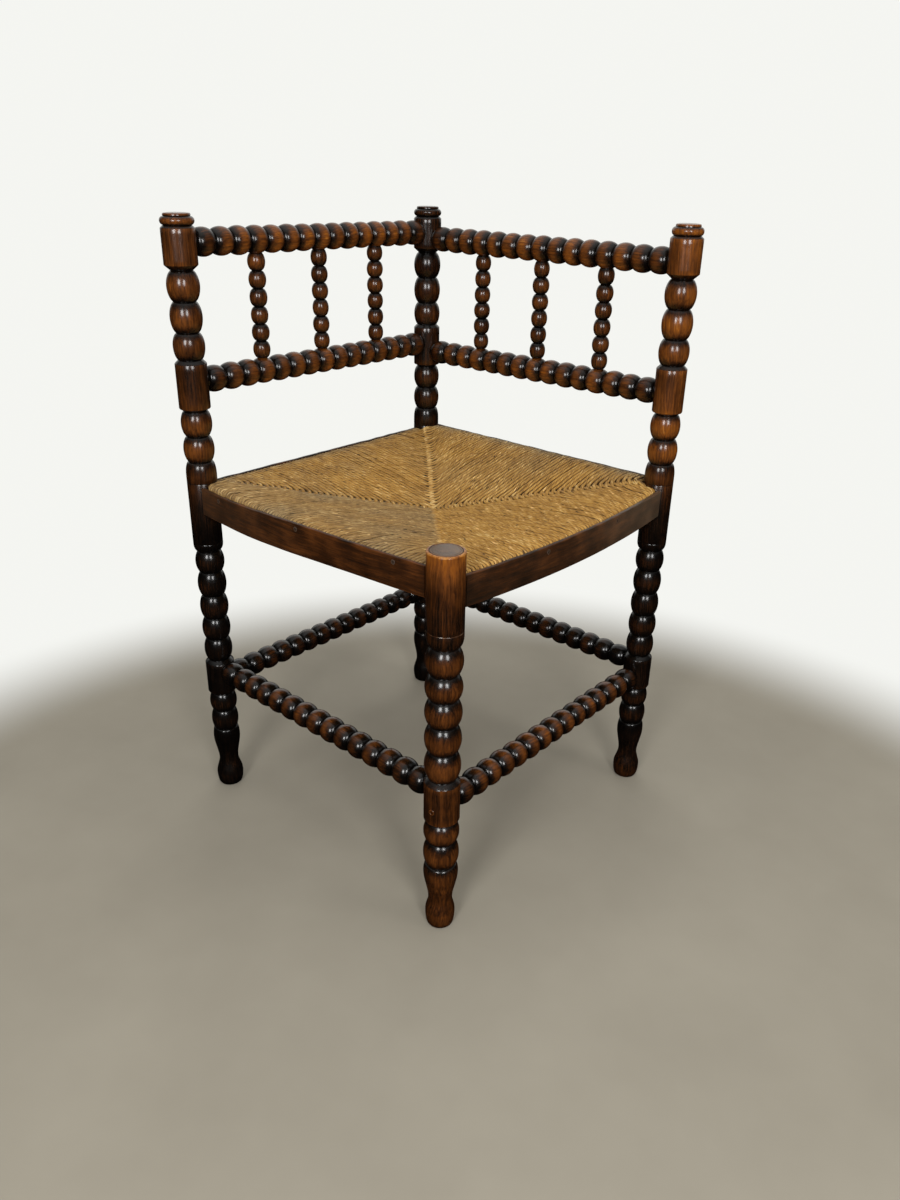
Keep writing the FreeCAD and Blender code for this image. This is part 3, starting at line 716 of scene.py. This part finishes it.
def board(side, tone, dust_and_sheen_amount):
    """A thin board with eased edges, bent along the side and butted to the posts.

    A haze of dust and painted sheen grows towards one end: on the front boards, the one away from the
    leg.
    """
    half, deep = halves(side)
    start, end = ends_between(side, BOARD_NECK)
    section = board_section()
    dust_and_sheen_end = -1 if side == "front_left" else 1
    seed = random.random() * 50
    points, tones, grain, greys = [], [], [], []
    for step in range(BOARD_STEPS + 1):
        distance = -start + (start + end) * step / BOARD_STEPS
        bottom, top = board_edges(side, distance)
        # Dust with a painted sheen, stronger towards one end
        dust_and_sheen_share = dust_and_sheen_amount * (0.02 + 0.15 * smooth(-0.3 * half, half, dust_and_sheen_end * distance))
        for depth, share, rise in section:
            level = bottom + (top - bottom) * share + rise
            wave = 0.35 * noise.noise(Vector((distance / 45, level / 30, seed)))
            dent = 0.5 * noise.noise(Vector((distance / 14, 3, seed))) - 0.5 if level > top - 2 else 0
            outward = deep + side_reach(side, depth, distance) + wave
            points.append(side_point(side, distance, outward, level + dent))
            rubbing = 0.05 + 0.25 * noise.noise(Vector((distance / 18, 9, seed)))
            worn_top = max(0, 1 - (top - level) / 2.2) * rubbing
            tones.append(tone + worn_top - 0.06 * abs(distance) / half)
            greys.append(dust_and_sheen_share)
            grain.append((depth * MM + seed, level * MM, distance * MM))
    faces = tube_faces(0, BOARD_STEPS + 1, len(section))
    build("board_" + side, points, faces, "apron_" + side, board_wood,
          {"tone": tones, "dust_and_sheen": greys}, {"grain": grain}, 50)


board("front_left", 0.46, 0.4)
board("front_right", 0.41, 1.5)
board("back_left", 0.34, 0.6)
board("back_right", 0.34, 0.6)


# Nail heads and the peg
STUD_SIDES = 20
NAIL_RADIUS = 2.9
NAIL_DROP = 6.5
NAIL_PLACES = {"front_left": (-147, 3, 146), "front_right": (-67, 67)}
PEG_RADIUS = 3.7
# From the middle outwards: share of the radius, height over the face and tone
NAIL_HEAD = (
    (0, 0.15, 0.3),
    (0.55, 0.15, 0.3),
    (0.72, 0.3, 0.56),
    (0.86, 0.3, 0.58),
    (1, 0, 0.2),
    (1, -6, 0),
    (0, -6, 0),
)
# The peg's sunken middle is darker: painted shade in the recess
PEG_HEAD = (
    (0, -0.9, 0.15),
    (0.5, -0.7, 0.2),
    (0.66, 0.5, 0.5),
    (0.84, 0.6, 0.66),
    (1, 0, 0.3),
    (1, -5, 0),
    (0, -5, 0),
)


def studs(name, node, material, heads, radius, rings):
    """Small round heads, each given by its centre on a face and the direction that it looks in."""
    points, faces, tones, grain = [], [], [], []
    for centre, out in heads:
        along = out.cross(Vector((0, 0, 1))).normalized()
        up = along.cross(out)
        faces += tube_faces(len(points), len(rings), STUD_SIDES)
        for share, depth, tone in rings:
            for step in range(STUD_SIDES):
                angle = 2 * math.pi * step / STUD_SIDES
                spread = along * math.cos(angle) + up * math.sin(angle)
                points.append(centre + spread * radius * max(share, 0.02) + out * depth)
                tones.append(tone)
                grain.append(tuple(spread * radius * share * MM + Vector((0, 0.03, 0))))
    build(name, points, faces, node, material, {"tone": tones}, {"grain": grain}, 60)


nail_heads = []
for side, distances in NAIL_PLACES.items():
    for distance in distances:
        outward = halves(side)[1] + side_reach(side, 0, distance)
        level = board_edges(side, distance)[1] - NAIL_DROP
        nail_heads.append((side_point(side, distance, outward, level), SIDES[side][1]))
studs("nail_heads", "apron_nails", nail_iron, nail_heads, NAIL_RADIUS, NAIL_HEAD)
peg_lean = math.asin((middle("leg_peg").x - east) / LEG_BLOCK)
peg_out = Vector((math.sin(peg_lean), -math.cos(peg_lean), 0))
peg_face = CORNERS["front"] + peg_out * (LEG_BLOCK - 0.1) + Vector((0, 0, middle("leg_peg").z))
studs("peg_head", "leg_peg", turned_wood, [(peg_face, peg_out)], PEG_RADIUS, PEG_HEAD)


# Rush seat: cords over each rail that meet along the four seams
# Half the thickness of a cord, and the step from one cord to the next
CORD = 2.65
PITCH = 5.3
# Levels of the upper and the lower seams in the middle of the seat and at their outer ends
SEAM_MIDDLE, SEAM_EDGE, SEAM_REACH = 410, 446, 187
UNDER_MIDDLE, UNDER_EDGE = 398.1, 411.6
# Radius in which a cord turns into the seam, and the smaller one in which it turns round a rail
BEND = 13
CORNER = 3.2
# Crest of the rush over its rail, and how far below it the underside is
RUSH_OVER_RAIL = 5
RUSH_DEPTH = 34
# How much the fields bulge above and below
BULGE_ABOVE, BULGE_BELOW = 2.2, -0.5
# Points of a cord: up to the upper corner of its rail, all round its rail, and down into the seam
RISING_POINTS, RAIL_POINTS, DIVING_POINTS = 8, 11, 4
CORD_SIDES = 8
# How a field meets the seam at its two ends: 1 lies over its neighbour and -1 under it
LIE = {
    "back_left": (1, 0),
    "back_right": (0, -1),
    "front_right": (0.5, 1),
    "front_left": (-1, -0.6),
}
# How much of each field is greyed
AGE = {"back_left": 0.05, "back_right": 0.12, "front_right": -0.12, "front_left": 0.58}


def crest_level(side, distance):
    """Top of the rush where it rolls over a rail.  The fields run to one height near a post."""
    lift = -1.5 if SIDES[side][0].x else 2.5
    return high("seat_rail_" + side).z + RUSH_OVER_RAIL + lift * (abs(distance) / halves(side)[0]) ** 4


def rush_outer(side, distance):
    """How far the middle of a cord reaches out from the seat's middle, inside the edge board."""
    return halves(side)[1] + side_reach(side, BOARD_THICKNESS + 0.4, distance) - CORD


def upper_seam(near):
    """Level of a cord's middle on the upper seam, by its distance from the middle of the side."""
    return SEAM_MIDDLE + (SEAM_EDGE - SEAM_MIDDLE) * near / SEAM_REACH - CORD


def lower_seam(near):
    """The same on the lower seam."""
    return UNDER_MIDDLE + (UNDER_EDGE - UNDER_MIDDLE) * near / half_x + CORD


def seam_hand(side, distance):
    """Which end of its field a cord turns to, and how it lies on the seam there."""
    hand = 1 if distance > 0 else -1
    return hand, LIE[side][1 if hand > 0 else 0]


def field_level(near, start, outward, edge_level, seam_level, bulge):
    """Height of a field: flat over the rail, then straight to the seam with a slight bulge."""
    reach = max(start - near, 1)
    flat = min(13, 0.45 * reach)
    run = start - outward
    if run <= flat:
        return edge_level
    share = min((run - flat) / max(reach - flat, 1), 1)
    return edge_level + (seam_level(near) - edge_level) * share + bulge * 4 * share * (1 - share)


def lumps(here, inside):
    """Slow unevenness of the whole seat."""
    return inside * (0.9 * noise.noise(Vector((here.x / 38, here.y / 38, 8.1)))
                     + 0.5 * noise.noise(Vector((here.x / 14, here.y / 14, 2.7))))


def seam_run(distance, outer, edge_level, seam_level, lie, hand, bulge):
    """Points from the rail in to the seam: distance along, outwards, level and turn."""
    near = abs(distance)
    bend = BEND * min(1, near / 14 + 0.25)
    start = outer - CORNER
    stop = near + bend
    line = []
    steps = 12
    if start > stop:
        for step in range(steps + 1):
            outward = start + (stop - start) * step / steps
            level = field_level(near, start, outward, edge_level, seam_level, bulge)
            line.append((distance, outward, level, 0))
    for step in range(1, 6):
        turn = math.pi / 4 * step / 5
        outward = near + bend - bend * math.sin(turn)
        aside = bend * (1 - math.cos(turn))
        if outward < start:
            along_seam = outward + 0.3 * bend * step / 5
            level = field_level(near, start, along_seam, edge_level, seam_level, bulge)
            line.append((distance + hand * aside, outward, level + 0.9 * lie * (step / 5) ** 2, turn))
    aside, outward, level, _ = line[-1]
    past = 2 + 1.6 * max(lie, 0)
    for ahead, drop in ((past, 0.5), (past + 1.4, 1.9), (past + 2.2, 4.2), (past + 2.4, 7)):
        slant = ahead * 0.707
        line.append((aside + hand * slant, outward - slant, level - drop, math.pi / 4))
    return line


def cord_line(side, distance, rise):
    """The way of one cord, from the lower seam round the rail to the upper seam.

    Also gives the number of its points below the rail.
    """
    crest = crest_level(side, distance)
    top = crest - CORD + rise
    bottom = 2 * crest_level(side, 0) - crest - RUSH_DEPTH + CORD
    outer = rush_outer(side, distance)
    hand, lie = seam_hand(side, distance)
    upper = seam_run(distance, outer, top, upper_seam, lie, hand, BULGE_ABOVE)
    lower = seam_run(distance, outer, bottom, lower_seam, 0, hand, BULGE_BELOW)[:-DIVING_POINTS]
    wrap = []
    for step in range(1, 4):
        angle = math.pi / 2 * step / 4
        level = bottom + CORNER - CORNER * math.cos(angle)
        wrap.append((distance, outer - CORNER + CORNER * math.sin(angle), level, 0))
    for share in (0.0, 0.25, 0.5, 0.75, 1.0):
        wrap.append((distance, outer, bottom + CORNER + (top - bottom - 2 * CORNER) * share, 0))
    for step in range(1, 4):
        angle = math.pi / 2 * step / 4
        level = top - CORNER + CORNER * math.sin(angle)
        wrap.append((distance, outer - CORNER + CORNER * math.cos(angle), level, 0))
    return lower[::-1] + wrap + upper, len(lower)


def age_of(side, outer, outward, here, below):
    """Greyed dirt: more over the back rails, in patches, and underneath."""
    if below:
        return 0.55
    rim = max(0, 1 - (outer - outward) / 26)
    dirt = 0.9 if side.startswith("back") else 0.15
    age = AGE[side] + dirt * rim ** 1.5 + 0.35 * noise.noise(Vector((here.x / 60, here.y / 60, 5)))
    return min(max(age, 0), 1)


def add_cord(rush_mesh, side, distance, number):
    """One cord as a tube."""
    points, faces, strand, aged, groove_shade = rush_mesh
    along, out = SIDES[side]
    size = CORD * random.uniform(0.97, 1.1)
    line, under = cord_line(side, distance, random.uniform(-0.35, 0.35))
    outer = rush_outer(side, distance)
    hand, lie = seam_hand(side, distance)
    path, across = [], []
    for aside, outward, level, turn in line:
        here = side_point(side, aside, outward, level)
        inside = min(max((outer - outward) / 20, 0), 1)
        here += along * (1.1 * inside * noise.noise(Vector((here.x / 30, here.y / 30, 3.3))))
        here.z += lumps(here, inside) + 0.25 * noise.noise(Vector((here.x / 9, here.y / 9, number)))
        path.append(here)
        across.append(along * math.cos(turn) + out * (hand * math.sin(turn)))
    faces += tube_faces(len(points), len(path), CORD_SIDES)
    length = 0
    spin = random.random() * 6.28
    # The cord's outer side looks away from these: one over its lower run, one inside its rail, and
    # one under its upper run
    cores = [side_point(side, distance, outer - 14, level) for level in (500, 430, 380)]
    for place, here in enumerate(path):
        before, after = path[max(place - 1, 0)], path[min(place + 1, len(path) - 1)]
        length += (here - before).length
        ahead = (after - before).normalized()
        wide = across[place]
        tall = wide.cross(ahead).normalized()
        core = cores[0 if place < under else 1 if place < under + RAIL_POINTS else 2]
        if tall.dot(here - core) < 0:
            tall = -tall
        outward = line[place][1]
        above = place > under + RISING_POINTS
        age = age_of(side, outer, outward, here, place < under + RISING_POINTS)
        to_seam = outward - abs(distance)
        seam_share = max(0, 1 - to_seam / 9)
        # Where a cord lies over its neighbour at a seam, its sides get more painted shade
        gap = 0.35 * max(0, 1 - to_seam / 16) if lie > 0.8 and above else 0
        bright = 0.3 * seam_share if lie == 0 and above else 0
        hidden = 0.5 if place > len(path) - DIVING_POINTS - 1 else 1
        half_width = size * (1 + 0.22 * seam_share) if above else size
        for step in range(CORD_SIDES):
            angle = 2 * math.pi * step / CORD_SIDES
            twist = 1 + 0.05 * math.cos(2 * (angle - length / 4.5) + spin)
            sideways = wide * math.cos(angle) * half_width * (1.03 - 0.12 * gap)
            points.append(here + (sideways + tall * math.sin(angle) * size * 0.95) * twist)
            around = angle * CORD + length * 0.32
            strand.append((length * MM, around * MM, number * 0.37))
            aged.append(age)
            # Painted shade on the cord's sides and underside, less on its diving end
            edge = min(1 - math.sin(angle), 1.15)
            groove_shade.append(edge ** 1.6 * (1 + gap) * hidden - bright)


def add_bed(rush_mesh, side):
    """The stuffed rush under the cords of a field, which shows only between them."""
    points, faces, strand, aged, groove_shade = rush_mesh
    columns = 36
    rows = 12
    shares = [(row / rows) ** 1.6 for row in range(rows + 1)]
    faces += tube_faces(len(points), columns + 1, 2 * (rows + 1))
    for column in range(columns + 1):
        distance = (halves(side)[0] - 17) * (2 * column / columns - 1)
        near = abs(distance)
        outer = rush_outer(side, distance) - 0.6
        start = outer - 2.6
        top = crest_level(side, distance) - CORD
        bottom = crest_level(side, 0) - RUSH_DEPTH + CORD
        for share in shares:
            outward = near + (outer - near) * share
            level = field_level(near, start, outward, bottom, lower_seam, BULGE_BELOW) + 1
            points.append(side_point(side, distance, outward, level))
        for share in reversed(shares):
            outward = near + (outer - near) * share
            rise = 3 * max(0, 1 - (outward - near) / 12) - 1
            level = field_level(near, start, outward, top, upper_seam, BULGE_ABOVE) + rise
            here = side_point(side, distance, outward, level)
            here.z += lumps(here, min(max((outer - outward) / 20, 0), 1))
            points.append(here)
        for share in shares + shares[::-1]:
            strand.append((distance * MM, share * 0.1, 0.5))
            aged.append(0.4)
            # Painted shade on the stuffed rush that shows between the cords
            groove_shade.append(0.35)


def rush_seat():
    rush_mesh = ([], [], [], [], [])
    number = 0
    for side, (along, out) in SIDES.items():
        # Along X the cords are half a step aside, so that they meet those of the next side in between
        offset = 0.5 if along.x else 0
        count = int((halves(side)[0] - RUSH_NECK) / PITCH - offset)
        for index in range(-count - (1 if offset else 0), count + 1):
            number += 1
            add_cord(rush_mesh, side, (index + offset) * PITCH + random.uniform(-0.3, 0.3), number)
        add_bed(rush_mesh, side)
    points, faces, strand, aged, groove_shade = rush_mesh
    seat = build("rush_cords", points, faces, "rush_seat", rush,
                 {"aged": aged, "groove_shade": groove_shade}, {"strand": strand}, 80)


random.seed(5)
rush_seat()

for side in SIDES:
    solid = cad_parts["seat_rail_" + side]
    solid.data.materials.clear()
    solid.data.materials.append(rail_wood)


# Floor, light and camera
BACKDROP = (0.91, 0.915, 0.88, 1)
FLOOR_REACH = 6


def floor():
    """A grey floor that fades into the backdrop away from the chair, for the camera only."""
    points = [(0, 0, 0)]
    faces = []
    for step in range(64):
        angle = 2 * math.pi * step / 64
        points.append((FLOOR_REACH * math.cos(angle), FLOOR_REACH * math.sin(angle), 0))
        faces.append((0, step + 1, (step + 1) % 64 + 1))
    mesh = bpy.data.meshes.new("floor")
    mesh.from_pydata(points, [], faces)
    material = bpy.data.materials.new("floor")
    tree = Shading(material)
    place = tree.place()
    greys = [(0.3, (0.3, 0.27, 0.213)), (0.7, (0.345, 0.312, 0.248))]
    tree.surface({"Base Color": tree.ramp(tree.noise(place, 3.5, 4, 0.6), greys), "Roughness": 0.8})
    bright = tree.new("Emission", {"Color": BACKDROP, "Strength": 1})["Emission"]
    away = tree.new("VectorMath", {0: place, 1: (0.25, -0.25, 0)}, operation="DISTANCE")["Value"]
    limits = {"Value": away, "From Min": 0.77, "From Max": 1.06}
    fade = tree.new("MapRange", limits, interpolation_type="SMOOTHSTEP")["Result"]
    share = tree.number("MULTIPLY", fade, tree.new("LightPath", {})["Is Camera Ray"])
    grey = tree.nodes["Principled BSDF"].outputs["BSDF"]
    faded = tree.new("MixShader", {0: share, 1: grey, 2: bright})["Shader"]
    tree.feed(tree.nodes["Material Output"], {"Surface": faded})
    mesh.materials.append(material)
    piece = bpy.data.objects.new("floor", mesh)
    bpy.context.scene.collection.objects.link(piece)
    piece.visible_glossy = False


floor()


def lamp_at(name, azimuth, height, width, tall, power, mirrored=True):
    """A lamp that looks at the chair's middle.

    Its azimuth and height are in degrees, its width and tallness in metres and its power in watts.
    """
    target = Vector((0, 0, 0.42))
    distance = 2.2
    a, e = math.radians(azimuth), math.radians(height)
    away = Vector((math.cos(e) * math.cos(a), math.cos(e) * math.sin(a), math.sin(e)))
    light = bpy.data.lights.new(name, "AREA")
    light.shape = "RECTANGLE"
    light.size = width
    light.size_y = tall
    light.energy = power
    holder = bpy.data.objects.new(name, light)
    holder.location = target + away * distance
    holder.rotation_euler = (-away).to_track_quat("-Z", "Y").to_euler()
    holder.visible_glossy = mirrored
    bpy.context.scene.collection.objects.link(holder)


lamp_at("window_left", -67, 20, 0.48, 0.74, 21)
lamp_at("window_right", -31, 20, 0.48, 0.74, 18)
lamp_at("window_far", 17, 18, 0.6, 1.0, 6, False)
lamp_at("overhead", 0, 89, 1.6, 1.6, 12, False)
lamp_at("back_fill", 130, 30, 1.5, 1.2, 7, False)


def studio():
    """Even light, and the backdrop for the camera.

    Mirrored in the varnish, the room is dark on the camera's side.  The backdrop is seen there only
    on the wall's side of the chair and above the floor.
    """
    world = bpy.data.worlds.new("studio")
    tree = Shading(world)
    direction = tree.new("TexCoord", {})["Generated"]
    upwards = tree.new("SeparateXYZ", {0: direction})["Z"]
    even = tree.ramp(upwards, [
        (0.0, (0.22, 0.22, 0.215)),
        (1.0, (0.45, 0.45, 0.44)),
    ])
    mirrored = tree.ramp(upwards, [
        (0.0, (0.003, 0.003, 0.003)),
        (0.3, (0.012, 0.012, 0.012)),
        (0.6, (0.16, 0.16, 0.155)),
        (1.0, (0.8, 0.8, 0.79)),
    ])
    to_wall = tree.new("VectorMath", {0: direction, 1: -FRONT}, operation="DOT_PRODUCT")["Value"]
    wall_share = tree.number("MULTIPLY_ADD", to_wall, 2.5, -1.1, clamp=True)
    over_floor = tree.number("MULTIPLY_ADD", upwards, 6, 0.4, clamp=True)
    wall_share = tree.number("MULTIPLY", wall_share, over_floor)
    paths = tree.new("LightPath", {})
    wall_glossy = tree.number("MULTIPLY", paths["Is Glossy Ray"], wall_share)
    seen = tree.number("MAXIMUM", paths["Is Camera Ray"], wall_glossy)
    seen = tree.number("MAXIMUM", seen, paths["Is Transmission Ray"])
    room = tree.mix(paths["Is Glossy Ray"], even, mirrored)
    tree.feed(tree.nodes["Background"], {"Color": tree.mix(seen, room, BACKDROP)})
    bpy.context.scene.world = world


studio()

CAMERA_PLACE = Vector((0.75348, -0.82658, 0.8062))
YAW, PITCH_DOWN, ROLL = math.radians(-41.24), math.radians(-25.02), math.radians(1.16)
right = Vector((math.cos(YAW), -math.sin(YAW), 0))
level_look = Vector((math.sin(YAW), math.cos(YAW), 0))
look = level_look * math.cos(PITCH_DOWN) + Vector((0, 0, math.sin(PITCH_DOWN)))
upward = right.cross(look)
rolled = right * math.cos(ROLL) + upward * math.sin(ROLL)
lifted = upward * math.cos(ROLL) - right * math.sin(ROLL)
lens = bpy.data.cameras.new("camera")
lens.lens = 27.996
lens.sensor_width = 36
lens.sensor_height = 36
camera = bpy.data.objects.new("camera", lens)
turn = Matrix((rolled, lifted, -look)).transposed().to_4x4()
camera.matrix_world = Matrix.Translation(CAMERA_PLACE) @ turn
bpy.context.scene.collection.objects.link(camera)
bpy.context.scene.camera = camera
bpy.context.scene.view_settings.view_transform = "Standard"
